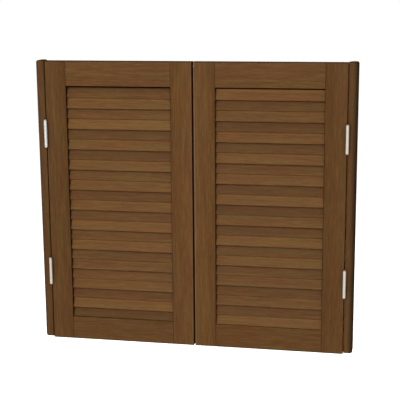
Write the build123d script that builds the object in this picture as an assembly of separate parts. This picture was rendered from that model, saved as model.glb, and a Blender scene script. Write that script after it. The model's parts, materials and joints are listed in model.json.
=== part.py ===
from build123d import *
import math
import os

# Pair of louvred cafe doors, hung between two wall strips on double-action spring hinges.
# Millimetres. X runs across the doorway, Y from the front (-Y) to the back (+Y), and Z is up.
# The origin is in the middle of the doorway, at the bottom of the leaves, half-way through them.

# Doorway and leaves
doorway_width = 914.0        # from wall to wall: two strips, two leaves and the gaps between them
leaf_height = 825.5
leaf_thickness = 28.0
hinge_gap = 1.4              # between a strip and its leaf
meeting_gap = 4.0            # between the two leaves
arris_round = 1.5            # eased outer edges of the leaves

# Stiles, rails and the dowels that join them
stile_width = 62.0
top_rail_height = 70.5
bottom_rail_height = 68.0
dowel_diameter = 10.0
dowel_length = 60.0
dowel_spacing = 34.0         # between the two dowels of one joint
dowel_clear = 0.1            # glue room round a dowel
dowel_end_clear = 1.0        # glue room past each end of a dowel

# Slats, seated in slots routed into the stiles, the outermost also in grooves along the rails
slat_width = 38.0
slat_thickness = 6.0
slat_edge_round = 5.0        # radius of the bow of a slat's long edges
slat_pitch_wanted = 29.6     # the real pitch is the nearest that fills the opening evenly
slat_tilt = 20.0             # degrees from upright, lower edge to the front
slat_stagger = 0.6           # every other slat sits this much further down its slope, the rest higher
slat_top_seat = 2.5          # how far the highest slat reaches into the groove in the top rail
slat_bottom_seat = 2.9       # how far the lowest slat reaches into the groove in the bottom rail
slot_depth = 8.0
slot_clear = 0.15            # between a slat and the walls of its slot
slat_end_clear = 0.4         # between a slat's end and the bottom of its slot

# Hanging strips, screwed to the walls
strip_width = 25.4
strip_back = 13.0            # how far a strip reaches behind the leaves
strip_rise = 1.5             # how far a strip stands above the leaves
strip_foot_rise = 2.0        # how far its foot is above the bottom of the leaves
strip_front_round = 8.0      # outer front edge
strip_end_round = 6.0        # top and bottom edges, front and outer side
barrel_room = 1.6            # between a rear barrel and the rebate that it turns in
wall_screw_radius = 2.6      # hole for the screw that holds a strip to the wall
wall_screw_head_radius = 5.0
wall_screw_end = 60.0        # outermost holes, from each end of a strip
wall_screw_inner = 330.0     # innermost holes, from each end of a strip
wall_screw_back = 4.0        # holes, behind the middle of the leaves

# Double-action hinges
hinge_inset = 208.0          # from the leaf's top or bottom to a hinge's middle
barrel_radius = 5.2
barrel_wall = 1.0
barrel_length = 74.0         # without the round ends
barrel_end_rise = 5.0        # how far a barrel's round end stands out
barrel_end_round = 4.9       # radius of that end's edge
end_knuckle = 17.0
knuckle_play = 0.4           # between neighbouring knuckles
barrel_standoff = 0.3        # between a barrel and the faces of the wood
flange_thickness = 1.0
flange_width = 26.0          # from the edge beside its barrel to the far edge
flange_clear = 0.2           # round a flange in its recess
flange_bed_clear = 0.1       # under a flange in its recess
journal_clear = 0.05         # between a pintle and the knuckle that turns on it
journal_length = 5.0         # of the journal inside the long knuckle
pintle_rod_radius = 2.3
rod_clear = 0.1              # between the rod and the plug that holds its top
rod_grip = 12.0              # how far the rod reaches into the plug
spring_inner_radius = 2.8
spring_outer_radius = 4.0
spring_end_play = 0.3

# Hinge screws
screw_radius = 2.0
screw_length = 18.0
screw_clear = 0.1
screw_spread = 27.0          # height from the middle screw to the outer two
screw_near = 8.0             # outer screws, from the flange's edge beside its barrel
screw_far = 17.0             # middle screw, from the same edge

# Tools that cut and pick
overrun = 1.0                # how far a cut runs past an open face
same = 0.01                  # two places nearer than this are the same

# Worked out from the sizes above
half_width = doorway_width / 2
half_leaf = leaf_thickness / 2
strip_face = half_width - strip_width
strip_ends = (strip_foot_rise, leaf_height + strip_rise)
hinge_x = strip_face - hinge_gap / 2
leaf_outer = strip_face - hinge_gap
leaf_inner = meeting_gap / 2
barrel_y = half_leaf + barrel_standoff + barrel_radius
bore_radius = barrel_radius - barrel_wall
journal_radius = bore_radius - journal_clear
long_knuckle = barrel_length - 2 * end_knuckle - 2 * knuckle_play
journal_end = long_knuckle / 2 - journal_length
rail_bottom = leaf_height - top_rail_height
screw_head_radius = screw_radius + flange_thickness
tilt = math.radians(slat_tilt)
slope_y = math.sin(tilt)
slope_z = math.cos(tilt)
half_turn = Rot(0, 0, 180)   # from the strip's side of a hinge to the leaf's side


def block(xs, ys, zs):
    """Box between two planes on each axis, given in either order."""
    spans = (xs, ys, zs)
    middle = [(a + b) / 2 for a, b in spans]
    return Pos(*middle) * Box(*[abs(b - a) for a, b in spans])


def edges_where(solid, axis, test):
    """Straight edges along an axis whose middles pass a test."""
    return [edge for edge in solid.edges().filter_by(axis) if test(edge.center())]


def turned(profile):
    """Solid turned about Z from a closed outline of (radius, height) points."""
    outline = make_face(Plane.XZ * Polyline(*profile, close=True))
    return revolve(outline, Axis.Z)


def slat_places(forward_first):
    """Centre of each slat as (y, z), from the top, every other one shifted down its slope."""
    rise = (slat_width + 2 * slat_stagger) * slope_z + slat_thickness * slope_y
    highest = rail_bottom + slat_top_seat - rise / 2
    lowest = bottom_rail_height - slat_bottom_seat + rise / 2
    steps = round((highest - lowest) / slat_pitch_wanted)
    pitch = (highest - lowest) / steps
    places = []
    for number in range(steps + 1):
        forward = (number % 2 == 0) == forward_first
        shift = slat_stagger if forward else -slat_stagger
        places.append((-shift * slope_y, highest - number * pitch - shift * slope_z))
    return places


def slat_bar(xs, place, room):
    """Slat along X with bowed long edges, grown by a room on all sides of its section."""
    start, end = sorted(xs)
    plane = Plane(origin=(start, *place), x_dir=(0, slope_y, slope_z), z_dir=(1, 0, 0))
    half = slat_thickness / 2
    bow = slat_edge_round - math.sqrt(slat_edge_round**2 - half**2)
    top = half + room
    shoulder = slat_width / 2 - bow + room
    tip = slat_width / 2 + room
    lower_edge = ThreePointArc((-shoulder, top), (-tip, 0), (-shoulder, -top))
    upper_edge = ThreePointArc((shoulder, -top), (tip, 0), (shoulder, top))
    faces = Line((-shoulder, -top), (shoulder, -top)) + Line((shoulder, top), (-shoulder, top))
    section = make_face(lower_edge + upper_edge + faces)
    return extrude(plane * section, amount=end - start)


def dowel_places(rail_middle):
    """Centres of one joint's two dowels in height."""
    return (rail_middle - dowel_spacing / 2, rail_middle + dowel_spacing / 2)


def dowels_at(x, room, end_room):
    """Four dowels across one stile's joints with the two rails, centred on x."""
    middles = (bottom_rail_height / 2, leaf_height - top_rail_height / 2)
    heights = [z for middle in middles for z in dowel_places(middle)]
    bar = Cylinder(dowel_diameter / 2 + room, dowel_length + 2 * end_room, rotation=(0, 90, 0))
    return [Pos(x, 0, z) * bar for z in heights]


def ease(edges):
    """The leaves' outer edges are rounded alike on stiles and rails."""
    return fillet(edges, arris_round)


def stile(side, free_x, panel_x, places):
    """Upright from its free edge to the panel, with slat slots and dowel holes in its panel face."""
    body = block((side * free_x, side * panel_x), (-half_leaf, half_leaf), (0, leaf_height))
    long_edges = edges_where(body, Axis.Z, lambda c: abs(c.X - side * free_x) < same)
    end_edges = edges_where(body, Axis.X, lambda c: True)
    body = ease(long_edges + end_edges)
    inwards = side * math.copysign(1, free_x - panel_x)
    slot_x = (side * panel_x - inwards * overrun, side * panel_x + inwards * slot_depth)
    slots = [slat_bar(slot_x, place, slot_clear) for place in places]
    return body - slots - dowels_at(side * panel_x, dowel_clear, dowel_end_clear)


def rail(side, low, high, eased_z, place):
    """Cross piece between the stiles, rounded along its free edge and grooved for the slat that reaches it."""
    ends = (side * (leaf_inner + stile_width), side * (leaf_outer - stile_width))
    body = block(ends, (-half_leaf, half_leaf), (low, high))
    body = ease(edges_where(body, Axis.X, lambda c: abs(c.Z - eased_z) < same))
    holes = dowels_at(ends[0], dowel_clear, dowel_end_clear)
    holes += dowels_at(ends[1], dowel_clear, dowel_end_clear)
    return body - holes - slat_bar(ends, place, slot_clear)


def screw(room):
    """Countersunk screw along -Z with its head's face at 0, grown by a room."""
    head = screw_head_radius + room
    shank = screw_radius + room
    end = screw_length + room
    return turned([(0, 0), (head, 0), (shank, -flange_thickness), (shank, -end), (0, -end)])


def screw_spots():
    """Places of a flange's three screws as (distance from its barrel edge, height)."""
    return [(screw_near, -screw_spread), (screw_far, 0), (screw_near, screw_spread)]


def flange_screws(make, face_x):
    """Screws of the jamb flange, driven towards -X with their heads in its free face."""
    edge_y = -half_leaf
    turn = Rot(0, 90, 0)
    return [Pos(face_x, edge_y + y, z) * turn * make() for y, z in screw_spots()]


def tube(y, low, high):
    """Knuckle as a full round bar at a barrel's place: its bore is cut later."""
    return Pos(0, y, (low + high) / 2) * Cylinder(barrel_radius, high - low)


def bore(y):
    """Inside of a barrel, from end to end."""
    return Pos(0, y, 0) * Cylinder(bore_radius, barrel_length + 2 * overrun)


def jamb_flange():
    """Flange let into the strip, rolled into the front barrel's long knuckle."""
    face_x = -hinge_gap / 2
    sheet = (face_x - flange_thickness, face_x)
    half_knuckle = long_knuckle / 2
    plate = block(sheet, (-half_leaf, flange_width - half_leaf), (-barrel_length / 2, barrel_length / 2))
    neck = block(sheet, (-barrel_y, -half_leaf), (-half_knuckle, half_knuckle))
    body = plate + neck + tube(-barrel_y, -half_knuckle, half_knuckle) - bore(-barrel_y)
    return body - flange_screws(lambda: screw(screw_clear), face_x)


def centre_flange():
    """Link in the gap that joins the two barrels, rolled into all four end knuckles."""
    half_sheet = flange_thickness / 2
    half_barrel = barrel_length / 2
    plate_y = half_leaf - knuckle_play / 2
    body = block((-half_sheet, half_sheet), (-plate_y, plate_y), (-half_barrel, half_barrel))
    for low, high in ((-half_barrel, end_knuckle - half_barrel), (half_barrel - end_knuckle, half_barrel)):
        body += block((-half_sheet, half_sheet), (-barrel_y, barrel_y), (low, high))
        body += tube(-barrel_y, low, high) + tube(barrel_y, low, high)
    return body - bore(-barrel_y) - bore(barrel_y)


def pintle():
    """Lower round end, journal and rod in one turned piece."""
    top = journal_end + rod_grip
    return round_ended([
        (journal_radius, -barrel_length / 2),
        (journal_radius, -journal_end),
        (pintle_rod_radius, -journal_end),
        (pintle_rod_radius, top),
        (0, top),
    ])


def plug():
    """Upper round end and journal, bored for the top of the rod."""
    socket = pintle_rod_radius + rod_clear
    socket_end = -journal_end - rod_grip - rod_clear
    upside_down = round_ended([
        (journal_radius, -barrel_length / 2),
        (journal_radius, -journal_end),
        (socket, -journal_end),
        (socket, socket_end),
        (0, socket_end),
    ])
    return Rot(180, 0, 0) * upside_down


def round_ended(shaft):
    """Piece turned about Z: a domed end below the barrel, then the outline of its shaft upwards."""
    face = -barrel_length / 2
    tip = face - barrel_end_rise
    body = turned([(0, tip), (barrel_radius, tip), (barrel_radius, face)] + shaft)
    return fillet(body.edges().sort_by(Axis.Z)[0], barrel_end_round)


def spring():
    """Closed outline of the torsion spring wound on the rod."""
    length = 2 * (journal_end - spring_end_play)
    return Cylinder(spring_outer_radius, length) - Cylinder(spring_inner_radius, length)


def in_all_barrels(side, piece):
    """The same piece in the front and rear barrels of both hinges of a side."""
    return [place * Pos(0, y, 0) * piece for place in hinge_places(side).values() for y in (-barrel_y, barrel_y)]


def flange_recess():
    """Space that the jamb flange and its screws take up in the wood, open at the front."""
    face_x = -hinge_gap / 2
    half_barrel = barrel_length / 2 + flange_clear
    bed = face_x - flange_thickness - flange_bed_clear
    reach = flange_width - half_leaf + flange_clear
    pocket = block((bed, 0), (-half_leaf - overrun, reach), (-half_barrel, half_barrel))
    return [pocket] + flange_screws(lambda: screw(screw_clear), face_x)


def hinge_places(side):
    """Both hinges of a side, turned half round on the right so that the jamb barrel is at the back."""
    turn = 0 if side < 0 else 180
    heights = {"lower": hinge_inset, "upper": leaf_height - hinge_inset}
    return {name: Pos(side * hinge_x, 0, z) * Rot(0, 0, turn) for name, z in heights.items()}


def strip(side):
    """Upright with a rounded outer front edge, rebated at the back for the rear barrels."""
    outer, inner = side * half_width, side * strip_face
    body = block((outer, inner), (-half_leaf, half_leaf + strip_back), strip_ends)
    front_edge = edges_where(body, Axis.Z, lambda c: c.Y < 0 and abs(c.X - outer) < same)
    body = fillet(front_edge, strip_front_round)
    end_edges = [
        edge for edge in body.edges()
        if min(abs(edge.center().Z - z) for z in strip_ends) < same
        and abs(edge.center().X - inner) > same
        and edge.center().Y < half_leaf + strip_back - same
    ]
    body = fillet(end_edges, strip_end_round)
    rebate_x = (side * (hinge_x + barrel_radius + barrel_room), inner - side * overrun)
    rebate_y = (half_leaf, half_leaf + strip_back + overrun)
    body -= block(rebate_x, rebate_y, (strip_ends[0] - overrun, strip_ends[1] + overrun))
    for z in wall_screw_heights():
        body -= Pos(inner, wall_screw_back, z) * Rot(0, -90 * side, 0) * wall_screw_hole()
    for place in hinge_places(side).values():
        body -= [place * tool for tool in flange_recess()]
    return body


def wall_screw_heights():
    """Heights of a strip's four wall screws."""
    low, high = strip_ends
    return (low + wall_screw_end, low + wall_screw_inner, high - wall_screw_inner, high - wall_screw_end)


def wall_screw_hole():
    """Countersunk hole along -Z from the strip's inner face, right through the strip."""
    neck = wall_screw_head_radius - wall_screw_radius
    return turned([
        (0, overrun),
        (wall_screw_head_radius, overrun),
        (wall_screw_head_radius, 0),
        (wall_screw_radius, -neck),
        (wall_screw_radius, -strip_width - overrun),
        (0, -strip_width - overrun),
    ])


def write(name, pieces):
    """One STEP file for a node: a single piece, or several alike as separate solids."""
    node = Compound(children=pieces) if isinstance(pieces, list) else pieces
    export_step(node, f"parts/{name}.step")


def leaf(name, side, forward_first):
    """Stiles, rails, slats and dowels of one leaf."""
    places = slat_places(forward_first)
    hinge_stile = stile(side, leaf_outer, leaf_outer - stile_width, places)
    for place in hinge_places(side).values():
        hinge_stile -= [place * half_turn * tool for tool in flange_recess()]
    write(f"{name}_hinge_stile", hinge_stile)
    write(f"{name}_meeting_stile", stile(side, leaf_inner, leaf_inner + stile_width, places))
    write(f"{name}_top_rail", rail(side, rail_bottom, leaf_height, leaf_height, places[0]))
    write(f"{name}_bottom_rail", rail(side, 0, bottom_rail_height, 0, places[-1]))
    seat = slot_depth - slat_end_clear
    slat_ends = (side * (leaf_inner + stile_width - seat), side * (leaf_outer - stile_width + seat))
    write(f"{name}_slats", [slat_bar(slat_ends, place, 0) for place in places])
    inner_dowels = dowels_at(side * (leaf_inner + stile_width), 0, 0)
    write(f"{name}_dowels", inner_dowels + dowels_at(side * (leaf_outer - stile_width), 0, 0))


def hinges(name, side):
    """All pieces of a side's two hinges: flanges one by one, and small like pieces together."""
    places = hinge_places(side)
    screws = flange_screws(lambda: screw(0), -hinge_gap / 2)
    for height, place in places.items():
        write(f"{height}_{name}_jamb_flange", place * jamb_flange())
        write(f"{height}_{name}_centre_flange", place * centre_flange())
        write(f"{height}_{name}_door_flange", place * half_turn * jamb_flange())
    write(f"{name}_hinge_pintles", in_all_barrels(side, pintle()))
    write(f"{name}_hinge_plugs", in_all_barrels(side, plug()))
    write(f"{name}_hinge_springs", in_all_barrels(side, spring()))
    write(f"{name}_jamb_screws", [place * piece for place in places.values() for piece in screws])
    write(f"{name}_door_screws", [place * half_turn * piece for place in places.values() for piece in screws])


os.makedirs("parts", exist_ok=True)
for side_name, side_way, front_slat_first in (("left", -1, False), ("right", 1, True)):
    write(f"{side_name}_strip", strip(side_way))
    leaf(side_name, side_way, front_slat_first)
    hinges(side_name, side_way)
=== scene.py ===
# %% [markdown]
# # Louvred cafe doors
#
# Two short swing doors hang between two upright strips of the same stained wood. Each leaf is a frame of two
# stiles and two rails that holds a stack of tilted slats, and slim spring hinges let it swing to both sides.
# The solid model comes ready made. This lesson dresses it: wood that looks cut from separate boards, slats
# with their own grain, pale lacquer on the hinges, and a quiet studio around it all.

# %% Load the fixed model
import json
import math

import bmesh
import bpy
import numpy as np
from mathutils import Matrix, Vector


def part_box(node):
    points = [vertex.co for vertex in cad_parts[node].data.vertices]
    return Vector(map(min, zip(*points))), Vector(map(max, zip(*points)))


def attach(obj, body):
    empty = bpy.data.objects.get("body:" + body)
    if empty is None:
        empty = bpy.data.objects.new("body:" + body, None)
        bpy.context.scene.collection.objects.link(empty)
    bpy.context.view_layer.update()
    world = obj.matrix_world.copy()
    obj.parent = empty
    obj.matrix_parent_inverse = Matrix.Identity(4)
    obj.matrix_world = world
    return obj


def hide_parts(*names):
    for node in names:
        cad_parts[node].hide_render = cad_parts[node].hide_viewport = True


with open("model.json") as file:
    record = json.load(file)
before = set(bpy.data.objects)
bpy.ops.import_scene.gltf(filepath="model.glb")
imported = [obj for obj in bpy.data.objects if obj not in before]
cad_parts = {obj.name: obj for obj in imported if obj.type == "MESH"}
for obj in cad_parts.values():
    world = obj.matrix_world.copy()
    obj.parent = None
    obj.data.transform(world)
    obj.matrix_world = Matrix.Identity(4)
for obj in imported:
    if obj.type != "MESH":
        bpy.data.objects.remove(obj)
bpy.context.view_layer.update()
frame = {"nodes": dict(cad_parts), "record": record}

print("pieces in the solid model:", len(frame["nodes"]))

# %% [markdown]
# ## Sizes
#
# Most sizes are read from the solid model, so the dressed pieces always meet it. Only the slats need values
# of their own, because they are made again here with finer edges: their section, their tilt, how they are
# spread over the opening between the rails, and how deep they sit in the wood around them. All lengths are
# in metres. X goes across the doorway, Y from the front to the back, and Z up.

# %% Named sizes
SIDES = {"left": -1, "right": 1}
Y, Z = 1, 2
SLAT_WIDTH = 0.038
SLAT_THICKNESS = 0.006
SLAT_EDGE_ROUND = 0.005
SLAT_TILT = math.radians(20)
SLAT_STAGGER = 0.0006
SLAT_PITCH = 0.0296
SLAT_TOP_SEAT = 0.0025
SLAT_BOTTOM_SEAT = 0.0029
SLAT_SEAT = 0.0076


def low(node):
    """Lowest corner of a solid piece."""
    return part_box(node)[0]


def high(node):
    """Highest corner of a solid piece."""
    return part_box(node)[1]


leaf_height = high("left_top_rail").z
opening_top = low("left_top_rail").z
opening_bottom = high("left_bottom_rail").z
print("opening between the rails:", round(opening_top - opening_bottom, 4), "m high")

# %% [markdown]
# ## The camera
#
# The four outer corners of the doors in the picture fix where the camera stood: a little to the right of
# the middle, above the doors and looking down on them. A long lens keeps the two leaves almost free of
# perspective.

# %% Camera
PICTURE_SIDE = 400
FOCAL_PIXELS = 1023.2
SENSOR_WIDTH = 36.0
CAMERA_PLACE = Vector((0.5767, -2.8055, 1.0235))
CAMERA_TILT = math.radians(78.328)
CAMERA_TURN = math.radians(11.291)
CAMERA_ROLL = math.radians(-0.447)
NEAREST_SEEN = 0.05


def add_camera():
    """Camera turned about Z, tilted from straight down about X, then rolled about its own line of sight."""
    data = bpy.data.cameras.new("camera")
    data.sensor_width = SENSOR_WIDTH
    data.lens = SENSOR_WIDTH * FOCAL_PIXELS / PICTURE_SIDE
    data.clip_start = NEAREST_SEEN
    camera = bpy.data.objects.new("camera", data)
    turn = Matrix.Rotation(CAMERA_TURN, 4, "Z")
    tilt = Matrix.Rotation(CAMERA_TILT, 4, "X")
    roll = Matrix.Rotation(CAMERA_ROLL, 4, "Z")
    camera.matrix_world = Matrix.Translation(CAMERA_PLACE) @ turn @ tilt @ roll
    bpy.context.scene.collection.objects.link(camera)
    bpy.context.scene.camera = camera
    return camera


camera = add_camera()
print("lens:", round(camera.data.lens, 1), "mm")

# %% [markdown]
# ## Writing a material down
#
# A material is a small graph of nodes. To keep each finish readable as a recipe, a few helpers make a node,
# set its sockets and wire it up in one line. Every helper takes the same two tools first: add makes a node
# in the graph, and link wires an output to an input.

# %% Tools for a node graph
def recipe_tools(tree):
    """The tools (add, link) of an emptied graph.

    add takes settings by name. One that starts with _ sets a property of the node, any other sets an input,
    and the _ inside its name stand for spaces.
    """
    tree.nodes.clear()

    def add(kind, **settings):
        node = tree.nodes.new(kind)
        for key, value in settings.items():
            if key[0] == "_":
                setattr(node, key[1:], value)
            else:
                node.inputs[key.replace("_", " ")].default_value = value
        return node

    return add, tree.links.new


def new_material(name):
    """Empty node material, returned as (material, add, link)."""
    material = bpy.data.materials.new(name)
    material.use_nodes = True
    return material, *recipe_tools(material.node_tree)


def feed(link, node, *sources):
    """Wires sources to a node's inputs in order; a number or a triple is set as the input's own value."""
    for socket, source in zip(node.inputs, sources):
        if isinstance(source, (int, float, tuple)):
            socket.default_value = source
        else:
            link(source, socket)
    return node.outputs[0]


# %% Steps with numbers
def arithmetic(add, link, operation, *sources):
    """Result socket of one step of arithmetic on sockets or numbers."""
    return feed(link, add("ShaderNodeMath", _operation=operation), *sources)


def ramp_between(add, link, source, start, end, first, last, smooth=False):
    """Socket that goes from first to last while source goes from start to end, and stays level outside."""
    node = add("ShaderNodeMapRange", From_Min=start, From_Max=end, To_Min=first, To_Max=last)
    node.interpolation_type = "SMOOTHSTEP" if smooth else "LINEAR"
    link(source, node.inputs["Value"])
    return node.outputs[0]


def object_axis(add, link, axis):
    """Socket with one axis of the Object coordinates."""
    split = add("ShaderNodeSeparateXYZ")
    link(add("ShaderNodeTexCoord").outputs["Object"], split.inputs["Vector"])
    return split.outputs[axis]


# %% Steps with colours
NOISE_SPAN = (0.3, 0.7)


def shade(red, green, blue):
    """Linear colour from a picture's 0 to 255: c / 12.92 near black, else ((c + 0.055) / 1.055)^2.4."""
    levels = [v / 255 for v in (red, green, blue)]
    return tuple(c / 12.92 if c < 0.04045 else ((c + 0.055) / 1.055) ** 2.4 for c in levels)


def colour_ramp(add, link, source, stops):
    """Colour socket from (place, colour) stops along a source from 0 to 1."""
    ramp = add("ShaderNodeValToRGB")
    while len(ramp.color_ramp.elements) < len(stops):
        ramp.color_ramp.elements.new(0.5)
    for element, (place, colour) in zip(ramp.color_ramp.elements, stops):
        element.position = place
        element.color = (*colour, 1)
    link(source, ramp.inputs["Fac"])
    return ramp.outputs["Color"]


def colour_over_noise(add, link, noise, first, last):
    """Colour socket that goes from first to last over the span in which nearly all of a noise lies."""
    return colour_ramp(add, link, noise, list(zip(NOISE_SPAN, (first, last))))


def colour_mix(add, link, blend, factor, first, second):
    """Colour socket that blends two colour sockets or colours by a factor."""
    node = add("ShaderNodeMix", _data_type="RGBA", _blend_type=blend)
    for name, source in (("Factor", factor), ("A", first), ("B", second)):
        if isinstance(source, (int, float)):
            node.inputs[name].default_value = source
        elif isinstance(source, tuple):
            node.inputs[name].default_value = (*source, 1)
        else:
            link(source, node.inputs[name])
    return node.outputs["Result"]


# %% The surface itself
def surface_of(add, link, colour, roughness, **settings):
    """The shader of a material, fed with a colour socket and a roughness socket and wired to the output."""
    surface = add("ShaderNodeBsdfPrincipled", **settings)
    link(colour, surface.inputs["Base Color"])
    link(roughness, surface.inputs["Roughness"])
    output = add("ShaderNodeOutputMaterial")
    link(surface.outputs["BSDF"], output.inputs["Surface"])
    return surface


# %% [markdown]
# ## Stained wood
#
# The boards are a close-grained hardwood under a brown stain and a thin satin lacquer. Four things make such
# wood believable. Broad soft bands follow the growth rings, fine fibres run along the board, short pores
# show as dark dashes, and the stain takes unevenly, so warm and cool patches drift across it. All of them
# are noise stretched along the grain.

# %% Wood figure
GRAIN_STRETCH = 16.0
BANDS = {"Scale": 170.0, "Detail": 4.0, "Roughness": 0.65, "Distortion": 0.6}
FIBRES = {"Scale": 450.0, "Detail": 4.0, "Roughness": 0.65}
PORES = {"Scale": 1300.0, "Detail": 2.0, "Roughness": 0.5}
PATCHES = {"Scale": 90.0, "Detail": 3.0, "Roughness": 0.6}


def wood_figure(add, link, coordinates):
    """Noise sockets of one board, all stretched along X: bands, fibres, pores and patches."""
    stretched = add("ShaderNodeMapping", Scale=(1 / GRAIN_STRETCH, 1, 1))
    link(coordinates, stretched.inputs["Vector"])
    figure = []
    for settings in (BANDS, FIBRES, PORES, PATCHES):
        noise = add("ShaderNodeTexNoise", **settings)
        link(stretched.outputs["Vector"], noise.inputs["Vector"])
        figure.append(noise.outputs["Fac"])
    return figure


print("broad bands about", round(1000 * GRAIN_STRETCH / BANDS["Scale"]), "mm long")

# %% [markdown]
# The noise becomes a colour in steps. Bands and fibres choose the depth of the stain, from dark to light, and
# a tone shifts a whole board along that scale. The patches pull the hue to warm or cool, and the pores darken
# it. The gloss is low: wood with much gloss picks up the white room as a grey veil.

# %% Stain
STAIN_STOPS = [(0.0, shade(80, 50, 22)), (0.45, shade(103, 69, 33)), (1.0, shade(134, 96, 52))]
STAIN_SPAN = (0.92, 2.12)
HUE_STOPS = [(0.42, shade(99, 73, 34)), (0.58, shade(114, 68, 34))]
HUE_SHARE = 0.45


def stain_colour(add, link, figure, patches, tone):
    """Stain read at figure + tone, its hue pulled towards that of the patches."""
    lifted = arithmetic(add, link, "ADD", figure, tone)
    depth = ramp_between(add, link, lifted, *STAIN_SPAN, 0.0, 1.0)
    stain = colour_ramp(add, link, depth, STAIN_STOPS)
    hue = colour_ramp(add, link, patches, HUE_STOPS)
    return colour_mix(add, link, "COLOR", HUE_SHARE, stain, hue)


print("stain from dark to light:", [[round(c, 3) for c in colour] for _, colour in STAIN_STOPS])

# %% Wood surface
FIBRE_SHARE = 1.2
# Pale wood, for painted highlights and for worn bare wood.
HIGHLIGHT_AND_BARE_WOOD = shade(154, 126, 102)
PORE_SPAN = (0.60, 0.72)
PORE_SHADE = 0.78
SATIN = (0.50, 0.64)
WOOD_GLOSS = 0.12
BUMP_STRENGTH = 0.25
BUMP_HEIGHT = 0.0003


def wood_surface(add, link, coordinates, tone, shadow, highlight_and_wear=0.0, gloss=WOOD_GLOSS):
    """Stained wood whose grain runs along X of the coordinates, with two masks from 0 to 1: painted shade,
    and pale wood for painted highlights and wear.

    figure = bands + fibre share * fibres
    colour = (stain at figure + tone, pale wood by the highlight and wear mask) * pores * (1 - painted shade)
    roughness = the larger of the satin's and the shadow
    """
    bands, fibres, pores, patches = wood_figure(add, link, coordinates)
    figure = arithmetic(add, link, "MULTIPLY_ADD", fibres, FIBRE_SHARE, bands)
    stained = stain_colour(add, link, figure, patches, tone)
    highlighted_and_bared = colour_mix(add, link, "MIX", highlight_and_wear, stained, HIGHLIGHT_AND_BARE_WOOD)
    pits = ramp_between(add, link, pores, *PORE_SPAN, 1.0, PORE_SHADE)
    lit = arithmetic(add, link, "SUBTRACT", 1.0, shadow)
    dimmed = arithmetic(add, link, "MULTIPLY", pits, lit)
    colour = colour_mix(add, link, "MULTIPLY", 1.0, highlighted_and_bared, dimmed)
    satin = ramp_between(add, link, bands, *NOISE_SPAN, *SATIN)
    dull = arithmetic(add, link, "MAXIMUM", satin, shadow)
    surface = surface_of(add, link, colour, dull, Specular_IOR_Level=gloss)
    bump = add("ShaderNodeBump", Strength=BUMP_STRENGTH, Distance=BUMP_HEIGHT)
    link(figure, bump.inputs["Height"])
    link(bump.outputs["Normal"], surface.inputs["Normal"])


# %% [markdown]
# ## Painted shade and painted highlights
#
# The marks paint shade along the front edges of a board, and a highlight along the edges that meet in the
# middle.
# In the picture every board has a thin dark line round it, the gaps look almost black, and the outer edge of
# each hanging strip falls away into shade. Each of these is a mark: a soft oval with a centre, a reach along
# each axis and a strength. A reach that is far longer than the board turns the oval into a line or a band,
# and its place along that axis no longer matters. All marks stay near the front face, so the back keeps the
# plain wood.

# %% Marks
ENDLESS = 1e3


def marked(add, link, place, marks):
    """Largest over the marks of strength * (1 - smoothstep(length of (place - centre) / reach))."""
    strongest = 0.0
    for centre, reach, strength in marks:
        offset = feed(link, add("ShaderNodeVectorMath", _operation="SUBTRACT"), place, centre)
        share = feed(link, add("ShaderNodeVectorMath", _operation="DIVIDE"), offset, reach)
        length = add("ShaderNodeVectorMath", _operation="LENGTH")
        link(share, length.inputs[0])
        faded = ramp_between(add, link, length.outputs["Value"], 0.0, 1.0, strength, 0.0, smooth=True)
        strongest = arithmetic(add, link, "MAXIMUM", strongest, faded)
    return strongest


# %% [markdown]
# The wood of a board puts all this together. It also turns the grain along the board and moves the noise to a
# place of its own, so that no two boards carry the same figure.

# %% Wood of a board
FIGURE_SHIFT = 5.0
QUARTER_TURN = math.radians(90)


def board_material(name, seed, gloss, upright, tone, dark, highlight_and_wear):
    """Stained wood of one board: its grain upright or level, its own figure, its dark marks, nearly all
    painted shade, and its pale marks of painted highlight and wear.
    """
    material, add, link = new_material(name)
    shift = tuple(np.random.default_rng(seed).uniform(-FIGURE_SHIFT, FIGURE_SHIFT, 3))
    turn = QUARTER_TURN if upright else 0.0
    mapping = add("ShaderNodeMapping", Location=shift, Rotation=(0, turn, 0))
    coordinates = add("ShaderNodeTexCoord")
    link(coordinates.outputs["Object"], mapping.inputs["Vector"])
    shadow = marked(add, link, coordinates.outputs["Object"], dark)
    highlight_and_bare = marked(add, link, coordinates.outputs["Object"], highlight_and_wear)
    wood_surface(add, link, mapping.outputs["Vector"], tone, shadow, highlight_and_bare, gloss)
    return material


# %% [markdown]
# ## Putting finishes on ready-made pieces
#
# The solid pieces arrive as loose triangles, so a round knuckle shows its facets. A merged copy of the mesh,
# smoothed everywhere but at its real edges, keeps the exact form and reflects light as the real piece does.
# A board takes two finishes: the satin one on its front and back, and one with no gloss on its narrow sides
# and ends, which would otherwise mirror the white room at a glance.

# %% Dress a solid piece
SHARP_ANGLE = math.radians(32)
WELD = 1e-6
EDGE_FACING = 0.7
body_of_node = {n: b for b, members in frame["record"]["behaviour"]["bodies"].items() for n in members}
slot_of_node = {p["node"]: p["material_slot"] for p in frame["record"]["subparts"]}


def finish_piece(piece, materials, node):
    """Gives a piece its materials and the body of the solid piece that it stands for."""
    piece.data.materials.clear()
    for material in materials:
        piece.data.materials.append(material)
    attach(piece, body_of_node[node])
    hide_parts(node)


def merged_copy(node):
    """Copy of a solid piece's mesh with its triangles joined, smooth but for its real edges."""
    mesh = frame["nodes"][node].data.copy()
    mesh.name = node + "_dressed"
    shape = bmesh.new()
    shape.from_mesh(mesh)
    bmesh.ops.remove_doubles(shape, verts=shape.verts, dist=WELD)
    shape.to_mesh(mesh)
    shape.free()
    mesh.shade_smooth()
    mesh.set_sharp_from_angle(angle=SHARP_ANGLE)
    return mesh


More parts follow.
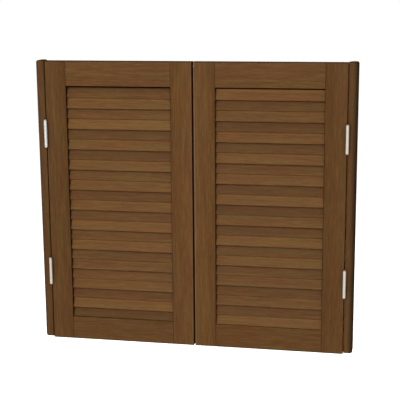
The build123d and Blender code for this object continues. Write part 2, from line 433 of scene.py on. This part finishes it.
def dress(node, *materials):
    """Finished copy of a solid piece; a second material goes on the faces that look sideways, up or down."""
    mesh = merged_copy(node)
    piece = bpy.data.objects.new(node + "_dressed", mesh)
    bpy.context.scene.collection.objects.link(piece)
    finish_piece(piece, materials, node)
    if len(materials) == 2:
        normals = np.empty(3 * len(mesh.polygons))
        mesh.polygons.foreach_get("normal", normals)
        is_edge = np.abs(normals.reshape(-1, 3)[:, Y]) < EDGE_FACING
        mesh.polygons.foreach_set("material_index", is_edge.astype(int))


# %% [markdown]
# ## The boards
#
# Each board names its grain direction, its tone and its marks of painted shade: a dark line along each free
# end, a darker one along each gap, a fine one beside the panel, and a dark ring round each hinge barrel. The
# strips are painted into shade over a wide band at their rounded outer edge, more on the right, away from the
# light. Both meeting stiles carry a painted highlight along the middle gap, strong on the right, and the
# right leaf has a small chip near its top corner, with a dark foot.

# %% Marks of the boards
# Painted shade: the end, gap and panel lines, the hinge rings and the outer shade of the strips. The pale
# band along the meeting edge is a painted highlight; the chip is worn bare wood and its foot a dark spot.
END_LINE = ((ENDLESS, 0.0060, 0.0034), 0.70)
GAP_LINE = ((0.0016, 0.0120, ENDLESS), 0.95)
PANEL_LINE = ((0.0026, 0.0160, ENDLESS), 0.75)
HINGE_RING = ((0.0105, 0.0120, 0.0580), 0.95)
OUTER_SHADE = {"left": ((0.0090, 0.0140, ENDLESS), 0.65), "right": ((0.0200, 0.0200, ENDLESS), 0.85)}
HIGHLIGHT_REACH = (0.0024, 0.0040, ENDLESS)
EDGE_HIGHLIGHT = {"left": (HIGHLIGHT_REACH, 0.10), "right": (HIGHLIGHT_REACH, 0.45)}
HIGHLIGHT_INSET = 0.0024
CHIP = ((0.0034, 0.0060, 0.0080), 1.0)
CHIP_AT = {"x": 0.0036, "z": 0.8135}
CHIP_FOOT = ((0.0034, 0.0060, 0.0060), 1.0)
CHIP_FOOT_AT = {"x": 0.0022, "z": 0.8015}
front_face = low("left_hinge_stile").y
print("front face of the leaves at y =", round(front_face, 4))


def mark(style, x=0.0, z=0.0):
    """A mark of a style (reach, strength), centred on the front face at x and z."""
    return ((x, front_face, z), *style)


def end_lines(node):
    """Dark lines of painted shade along the lower and the upper end of an upright board."""
    return [mark(END_LINE, z=low(node).z), mark(END_LINE, z=high(node).z)]


def hinge_rings(side, x):
    """Painted shade in a ring round both hinges of a side: at x, and at the middle of each hinge's height."""
    flanges = [f"{place}_{side}_door_flange" for place in ("upper", "lower")]
    return [mark(HINGE_RING, x=x, z=(low(flange).z + high(flange).z) / 2) for flange in flanges]


def long_edges(node, way):
    """x of both long edges of an upright board: the outer one, then the one nearer the middle gap."""
    edges = (high(node).x, low(node).x)
    return edges if way > 0 else edges[::-1]


# %% Recipes of the boards
STRIP_TONE = {"left": 0.16, "right": 0.34}
HINGE_STILE_TONE = 0.27
MEETING_STILE_TONE = 0.47
TOP_RAIL_TONE = 0.42
BOTTOM_RAIL_TONE = 0.34


def board_recipes(side, way):
    """For each board of a side: whether its grain is upright, its tone, its dark marks, nearly all painted
    shade, and its pale marks of painted highlight and wear.
    """
    strip, hinge, meeting = (f"{side}_{part}" for part in ("strip", "hinge_stile", "meeting_stile"))
    top, bottom = f"{side}_top_rail", f"{side}_bottom_rail"
    strip_outer, strip_inner = long_edges(strip, way)
    hinge_outer, hinge_inner = long_edges(hinge, way)
    meeting_outer, meeting_inner = long_edges(meeting, way)
    rings = hinge_rings(side, (strip_inner + hinge_outer) / 2)
    strip_marks = [mark(OUTER_SHADE[side], x=strip_outer), mark(GAP_LINE, x=strip_inner), *rings]
    hinge_marks = [mark(GAP_LINE, x=hinge_outer), mark(PANEL_LINE, x=hinge_inner), *rings]
    meeting_marks = [mark(PANEL_LINE, x=meeting_outer), mark(GAP_LINE, x=meeting_inner)]
    # A painted highlight along the meeting edge; on the right also a chip of worn bare wood, with a dark
    # foot.
    highlight_and_wear = [mark(EDGE_HIGHLIGHT[side], x=meeting_inner + way * HIGHLIGHT_INSET)]
    if side == "right":
        highlight_and_wear.append(mark(CHIP, **CHIP_AT))
        meeting_marks.append(mark(CHIP_FOOT, **CHIP_FOOT_AT))
    return {
        strip: (True, STRIP_TONE[side], end_lines(strip) + strip_marks, []),
        hinge: (True, HINGE_STILE_TONE, end_lines(hinge) + hinge_marks, []),
        meeting: (True, MEETING_STILE_TONE, end_lines(meeting) + meeting_marks, highlight_and_wear),
        top: (False, TOP_RAIL_TONE, [mark(END_LINE, z=high(top).z)], []),
        bottom: (False, BOTTOM_RAIL_TONE, [mark(END_LINE, z=low(bottom).z)], []),
    }


# %% Dress the boards
BOARD_SEEDS = range(7, 27, 2)  # one for each board
NO_GLOSS = 0.0

boards = [board for side, way in SIDES.items() for board in board_recipes(side, way).items()]
for seed, (node, recipe) in zip(BOARD_SEEDS, boards, strict=True):
    face = board_material(node + "_wood", seed, WOOD_GLOSS, *recipe)
    edge = board_material(node + "_edge_wood", seed, NO_GLOSS, *recipe)
    dress(node, face, edge)
print("boards dressed:", len(boards))

# %% [markdown]
# ## The slats
#
# Each slat is a thin board with bowed long edges. Its section is carried along the opening from one stile
# slot to the other. Every other slat is moved a little down its own slope, and so stands a little further
# forward. The grain has to follow every slat, turn with its tilt and change from slat to slat, so each slat
# stores its own grain coordinates on its points. That is why the slats are new meshes: a pattern on plain
# object coordinates would run straight through the whole stack.

# %% Slat section
EDGE_STEPS = 8
FACE_STEPS = 12
SLOPE = np.array([math.sin(SLAT_TILT), math.cos(SLAT_TILT)])
NORMAL = np.array([SLOPE[1], -SLOPE[0]])


def slat_section():
    """Closed outline (across, through): two faces joined by arcs of the edge radius, centred on the slat."""
    half = SLAT_THICKNESS / 2
    reach = math.asin(half / SLAT_EDGE_ROUND)
    centre = SLAT_WIDTH / 2 - SLAT_EDGE_ROUND
    angle = np.linspace(-reach, reach, EDGE_STEPS + 1)
    upper = np.stack([centre + SLAT_EDGE_ROUND * np.cos(angle), SLAT_EDGE_ROUND * np.sin(angle)], 1)
    lower = -upper
    share = np.linspace(0, 1, FACE_STEPS + 1)[1:-1, None]
    back = upper[-1] + (lower[0] - upper[-1]) * share
    front = lower[-1] + (upper[0] - lower[-1]) * share
    return np.concatenate([upper, back, lower, front])


print("points round a slat:", len(slat_section()))

# %% Slat places
def slat_places(forward_first):
    """Middles of the slats as rows of (y, z) from the top, and how far each is shifted down its slope."""
    rise = (SLAT_WIDTH + 2 * SLAT_STAGGER) * SLOPE[1] + SLAT_THICKNESS * SLOPE[0]
    highest = opening_top + SLAT_TOP_SEAT - rise / 2
    lowest = opening_bottom - SLAT_BOTTOM_SEAT + rise / 2
    steps = round((highest - lowest) / SLAT_PITCH)
    heights = np.linspace(highest, lowest, steps + 1)
    number = np.arange(steps + 1)
    shift = np.where((number % 2 == 0) == forward_first, SLAT_STAGGER, -SLAT_STAGGER)
    return np.stack([-shift * SLOPE[0], heights - shift * SLOPE[1]], 1), shift


def slat_span(side):
    """Both ends of the slats of a leaf in x, seated in the slots of its two stiles."""
    stiles = sorted((f"{side}_hinge_stile", f"{side}_meeting_stile"), key=lambda node: low(node).x)
    return high(stiles[0]).x - SLAT_SEAT, low(stiles[1]).x + SLAT_SEAT


print("slats in a leaf:", len(slat_places(True)[0]))

# %% [markdown]
# Every point of a slat also stores a tone: its own random share, and painted light and shade. A slat that
# stands forward is painted lighter than its neighbours, which stand back in shade, and on each one the tone
# rises towards the lower edge, a painted shade that deepens up under the slat above. Near its upper edge,
# just under the next slat, one that stands back is painted into deeper shade and one that stands forward is
# painted lighter still. The lower rim of a slat that stands back gets a painted highlight.

# %% Tone over a slat
# TONE_STEP, TONE_RISE, LINE_STEP and LIP_STEP paint light and shade into the tone; TONE_SPREAD is the slats'
# own spread.
SLAT_TONE = 0.50
TONE_STEP = 0.14
TONE_SPREAD = 0.08
TONE_RISE = 0.16
LINE_STEP = 0.6
LINE_START = 0.004
LINE_FULL = 0.012
LIP_STEP = 0.4
LIP_START = 0.001 - SLAT_WIDTH / 2


def section_tone(across, forward):
    """Tone of the points of a section, where forward is 1 or -1.

    rise: painted shade, falling evenly from the lower to the upper edge
    line: forward * line step, reached between line start and line full: painted light on a forward slat,
    painted shade on one that stands back
    lip: lip step past lip start, on a slat that stands back: a painted highlight
    """
    rise = -TONE_RISE * across / SLAT_WIDTH
    line = LINE_STEP * np.clip((across - LINE_START) / (LINE_FULL - LINE_START), 0, 1)
    lip = np.where(across < LIP_START, LIP_STEP, 0)
    return rise + forward * line + (forward < 0) * lip


# %% Parts of a mesh
def closed_bar(count, stations):
    """Faces of a bar with count points at each station: quads between neighbours, and a polygon per end."""
    index = np.arange(stations * count).reshape(stations, count)
    nxt = np.roll(index, -1, axis=1)
    quads = np.stack([index[:-1], index[1:], nxt[1:], nxt[:-1]], -1).reshape(-1, 4)
    return quads, np.stack([index[0], index[-1][::-1]])


def store(mesh, name, kind, key, values):
    """Stores rows of values on the points of a mesh under a name."""
    mesh.attributes.new(name, kind, "POINT").data.foreach_set(key, np.concatenate(values).ravel())


# %% Slat meshes
SLAT_SEED = {"left": 4, "right": 5}
LENGTH_STEPS = 12


def build_slats(side, forward_first):
    """All slats of a leaf in one mesh: point = middle + across * slope + through * normal, along X."""
    rng = np.random.default_rng(SLAT_SEED[side])
    section = slat_section()
    along = np.linspace(*slat_span(side), LENGTH_STEPS + 1)
    x = np.repeat(along, len(section))
    ring = section[:, :1] * SLOPE + section[:, 1:] * NORMAL
    quads, ends = closed_bar(len(section), len(along))
    points, faces, grain, tone = [], [], [], []
    for number, (middle, shift) in enumerate(zip(*slat_places(forward_first))):
        points.append(np.column_stack([x, np.tile(middle + ring, (len(along), 1))]))
        offset = rng.uniform(-FIGURE_SHIFT, FIGURE_SHIFT, 3)
        grain.append(np.column_stack([x, np.tile(section, (len(along), 1))]) + offset)
        forward = np.sign(shift)
        # A forward slat is painted lighter and one that stands back darker, as light falls; the random part
        # is its own tone.
        lift = SLAT_TONE + TONE_STEP * forward + rng.normal(0, TONE_SPREAD)
        tone.append(np.tile(lift + section_tone(section[:, 0], forward), len(along)))
        first = number * len(x)
        faces += (quads + first).tolist() + (ends + first).tolist()
    mesh = bpy.data.meshes.new(f"{side}_louvres")
    mesh.from_pydata(np.concatenate(points).tolist(), [], faces)
    store(mesh, "grain", "FLOAT_VECTOR", "vector", grain)
    store(mesh, "tone", "FLOAT", "value", tone)
    mesh.shade_smooth()
    mesh.set_sharp_from_angle(angle=SHARP_ANGLE)
    piece = bpy.data.objects.new(f"{side}_louvres", mesh)
    bpy.context.scene.collection.objects.link(piece)
    return piece


# %% [markdown]
# The slats share one wood. It reads the stored grain and tone, and it goes almost black close under the top
# rail, where the highest slat runs up into its groove and no light comes in.

# %% Slat wood
GROOVE_DARK = 0.0062
GROOVE_FADE = 0.0020
GROOVE_SHADE = 0.92


def slat_material():
    """The same stained wood on the slats' own grain coordinates, black in the groove under the top rail."""
    material, add, link = new_material("slat_wood")
    grain = add("ShaderNodeAttribute", _attribute_name="grain")
    tone = add("ShaderNodeAttribute", _attribute_name="tone")
    start = opening_top - GROOVE_DARK
    end = start + GROOVE_FADE
    shadow = ramp_between(add, link, object_axis(add, link, Z), start, end, 0.0, GROOVE_SHADE, smooth=True)
    wood_surface(add, link, grain.outputs["Vector"], tone.outputs["Fac"], shadow)
    return material


slat_wood = slat_material()
for side in SIDES:
    louvres = build_slats(side, side == "right")
    finish_piece(louvres, [slat_wood], f"{side}_slats")
    print(side, "louvres:", len(louvres.data.polygons), "faces")

# %% [markdown]
# ## Hinges and hidden pieces
#
# The hinge barrels are the only bright things on the doors: rolled steel under a pale lacquer. The upper left
# one has a lit copy of it, painted whiter where it catches the light. Shade is painted on the sides of each
# barrel, where it comes near the wood, so only a slim bright stripe is left along the front of each. The
# flanges between the boards get no painted shade. Springs and screws stay bare metal, and the dowels are raw
# beech. Hardly any of these show until a leaf swings open, but then they do.

# %% Lacquer on the hinges
BRIGHT_HINGE = "upper_left"
# The upper left hinge's lacquer is a lit copy of the cream one, painted whiter where it catches the light.
LIT_LACQUER = (shade(254, 252, 248), shade(255, 255, 252))
CREAM_LACQUER = (shade(240, 228, 210), shade(250, 240, 224))
LIT_GLOSS = 0.8
CREAM_GLOSS = 0.35
LACQUER_ROUGHNESS = (0.24, 0.36)
CLOUD_SCALE = 60.0
# Painted shade on the sides of each barrel, near the wood.
BARREL_SHADE_COLOUR = shade(44, 30, 18)
BARREL_SHADE_SHARE = 0.85
BARREL_SHADE_FULL = 0.0222
BARREL_SHADE_NONE = 0.0250
FLANGES_END = 0.0120
BARRELS_START = 0.0150


def object_noise(add, link, scale, stretch=(1, 1, 1)):
    """Noise on Object coordinates, stretched along the axes."""
    coordinates = add("ShaderNodeTexCoord")
    mapping = add("ShaderNodeMapping", Scale=stretch)
    link(coordinates.outputs["Object"], mapping.inputs["Vector"])
    noise = add("ShaderNodeTexNoise", Scale=scale, Detail=3.0, Roughness=0.6)
    link(mapping.outputs["Vector"], noise.inputs["Vector"])
    return noise.outputs["Fac"]


def barrel_shade_mask(add, link):
    """Painted shade by the distance from the middle plane: none on flanges, full on barrel sides, none in
    front.
    """
    proud = arithmetic(add, link, "ABSOLUTE", object_axis(add, link, Y))
    near_wood = ramp_between(add, link, proud, BARREL_SHADE_FULL, BARREL_SHADE_NONE, BARREL_SHADE_SHARE, 0.0, smooth=True)
    on_barrels = ramp_between(add, link, proud, FLANGES_END, BARRELS_START, 0.0, 1.0, smooth=True)
    return arithmetic(add, link, "MULTIPLY", near_wood, on_barrels)


def lacquer_material(name, colours, gloss):
    """Gloss lacquer with a faint unevenness, and painted shade where a barrel comes near the wood."""
    material, add, link = new_material(name)
    cloud = object_noise(add, link, CLOUD_SCALE)
    unshaded = colour_over_noise(add, link, cloud, *colours)
    colour = colour_mix(add, link, "MIX", barrel_shade_mask(add, link), unshaded, BARREL_SHADE_COLOUR)
    roughness = ramp_between(add, link, cloud, *NOISE_SPAN, *LACQUER_ROUGHNESS)
    surface_of(add, link, colour, roughness, Specular_IOR_Level=gloss)
    return material


# %% Bare metal and raw beech
STREAK_SCALE = 400.0
STREAK_STRETCH = (1, 1, 12)
ROUGHNESS_SPREAD = 0.08
OILED_STEEL = (shade(70, 70, 72), shade(120, 120, 122))
OILED_ROUGHNESS = 0.35
ZINC = (shade(150, 148, 142), shade(190, 188, 180))
ZINC_ROUGHNESS = 0.3
FLECK_SCALE = 700.0
FLECK_STRETCH = (0.15, 1, 1)
BEECH = (shade(176, 138, 96), shade(214, 180, 138))
BEECH_ROUGHNESS = (0.65, 0.75)


def bare_metal_material(name, colours, middle):
    """Bare metal with fine brushed streaks round the piece, its roughness spread about a middle value."""
    material, add, link = new_material(name)
    streaks = object_noise(add, link, STREAK_SCALE, STREAK_STRETCH)
    colour = colour_over_noise(add, link, streaks, *colours)
    ends = middle - ROUGHNESS_SPREAD, middle + ROUGHNESS_SPREAD
    roughness = ramp_between(add, link, streaks, *NOISE_SPAN, *ends)
    surface_of(add, link, colour, roughness, Metallic=1.0)
    return material


def beech_material():
    """Raw beech with short fine flecks along the dowel."""
    material, add, link = new_material("dowel_beech")
    flecks = object_noise(add, link, FLECK_SCALE, FLECK_STRETCH)
    colour = colour_over_noise(add, link, flecks, *BEECH)
    surface_of(add, link, colour, ramp_between(add, link, flecks, *NOISE_SPAN, *BEECH_ROUGHNESS))
    return material


# %% Dress the hinges, screws, springs and dowels
# Painted light: the upper left hinge gets the lit copy of the lacquer.
lit_lacquer = lacquer_material("lit_lacquer", LIT_LACQUER, LIT_GLOSS)
finishes = {
    "hinge_metal": lacquer_material("cream_lacquer", CREAM_LACQUER, CREAM_GLOSS),
    "spring_steel": bare_metal_material("oiled_steel", OILED_STEEL, OILED_ROUGHNESS),
    "screw_steel": bare_metal_material("zinc_plate", ZINC, ZINC_ROUGHNESS),
    "dowel_wood": beech_material(),
}
for node, slot in slot_of_node.items():
    if slot in finishes:
        dress(node, lit_lacquer if node.startswith(BRIGHT_HINGE) else finishes[slot])
print("finishes:", ", ".join(finishes))

# %% [markdown]
# ## Studio
#
# The picture has a plain white ground, and its light comes almost from where the camera stands: the shadows
# under the slats are thin, and every edge that turns away goes dark. A big soft lamp a little above the
# camera does that, with a weaker one low on the right. Three more lamps, at the back and at both sides, keep
# the hidden faces readable without touching the front.

# %% Lamps
# Each lamp has a place, the side of its square in metres and its power in watts.
LAMPS = {
    "key": ((-0.5, -3.2, 1.9), 1.2, 59),
    "fill": ((1.8, -3.0, 0.8), 1.6, 11),
    "back": ((0.4, 3.2, 2.7), 1.6, 70),
    "left side": ((-3.4, 0.8, 1.0), 1.2, 22),
    "right side": ((3.4, 0.8, 1.0), 1.2, 22),
}


def soft_lamp(name, place, size, watts, aim):
    """Square area lamp at a place, facing an aim point."""
    data = bpy.data.lights.new(name, "AREA")
    data.size = size
    data.energy = watts
    lamp = bpy.data.objects.new(name, data)
    lamp.location = place
    lamp.rotation_euler = (Vector(aim) - Vector(place)).to_track_quat("-Z", "Y").to_euler()
    bpy.context.scene.collection.objects.link(lamp)


for name, lamp in LAMPS.items():
    soft_lamp(name, *lamp, Vector((0, 0, leaf_height / 2)))
print("lamps:", ", ".join(LAMPS))

# %% [markdown]
# The ground is made white only for the camera, for reflections and for light that goes through glass, so
# that it sends no more light onto the doors. Under the doors it still keeps their soft shadow.

# %% World
AMBIENT = 0.20
WHITE = (1, 1, 1, 1)


def white_for_camera(add, link):
    """Socket that is 1 for camera, glossy and transmission rays and 0 for the light on the object."""
    path = add("ShaderNodeLightPath")
    seen = arithmetic(add, link, "MAXIMUM", path.outputs["Is Camera Ray"], path.outputs["Is Glossy Ray"])
    return arithmetic(add, link, "MAXIMUM", seen, path.outputs["Is Transmission Ray"])


def set_world():
    """World that lights the object softly and looks white to the camera and in reflections."""
    world = bpy.data.worlds.new("studio")
    world.use_nodes = True
    add, link = recipe_tools(world.node_tree)
    strength = ramp_between(add, link, white_for_camera(add, link), 0, 1, AMBIENT, 1.0)
    ground = add("ShaderNodeBackground", Color=WHITE)
    link(strength, ground.inputs["Strength"])
    output = add("ShaderNodeOutputWorld")
    link(ground.outputs[0], output.inputs["Surface"])
    bpy.context.scene.world = world


set_world()
bpy.context.scene.view_settings.view_transform = "Standard"
print("light from all round:", AMBIENT)

# %% Floor
FLOOR_DROP = 0.55
FLOOR_HALF = 8.0
FLOOR_PALE = 0.85
FLOOR_GLOW = 0.93


def floor_material():
    """Pale floor that glows up to white for the camera only, but for the shadow on it."""
    material, add, link = new_material("floor")
    pale = add("ShaderNodeBsdfDiffuse", Color=(FLOOR_PALE, FLOOR_PALE, FLOOR_PALE, 1))
    glow = add("ShaderNodeEmission", Color=WHITE, Strength=FLOOR_GLOW)
    both = feed(link, add("ShaderNodeAddShader"), pale.outputs[0], glow.outputs[0])
    seen = white_for_camera(add, link)
    mixed = feed(link, add("ShaderNodeMixShader"), seen, pale.outputs[0], both)
    output = add("ShaderNodeOutputMaterial")
    link(mixed, output.inputs["Surface"])
    return material


def add_floor():
    """Wide level square far below the hanging doors."""
    half = FLOOR_HALF
    corners = [(-half, -half), (half, -half), (half, half), (-half, half)]
    mesh = bpy.data.meshes.new("floor")
    mesh.from_pydata([(x, y, -FLOOR_DROP) for x, y in corners], [], [(0, 1, 2, 3)])
    mesh.materials.append(floor_material())
    floor = bpy.data.objects.new("floor", mesh)
    bpy.context.scene.collection.objects.link(floor)


add_floor()
print("floor:", FLOOR_DROP, "m below the doors")
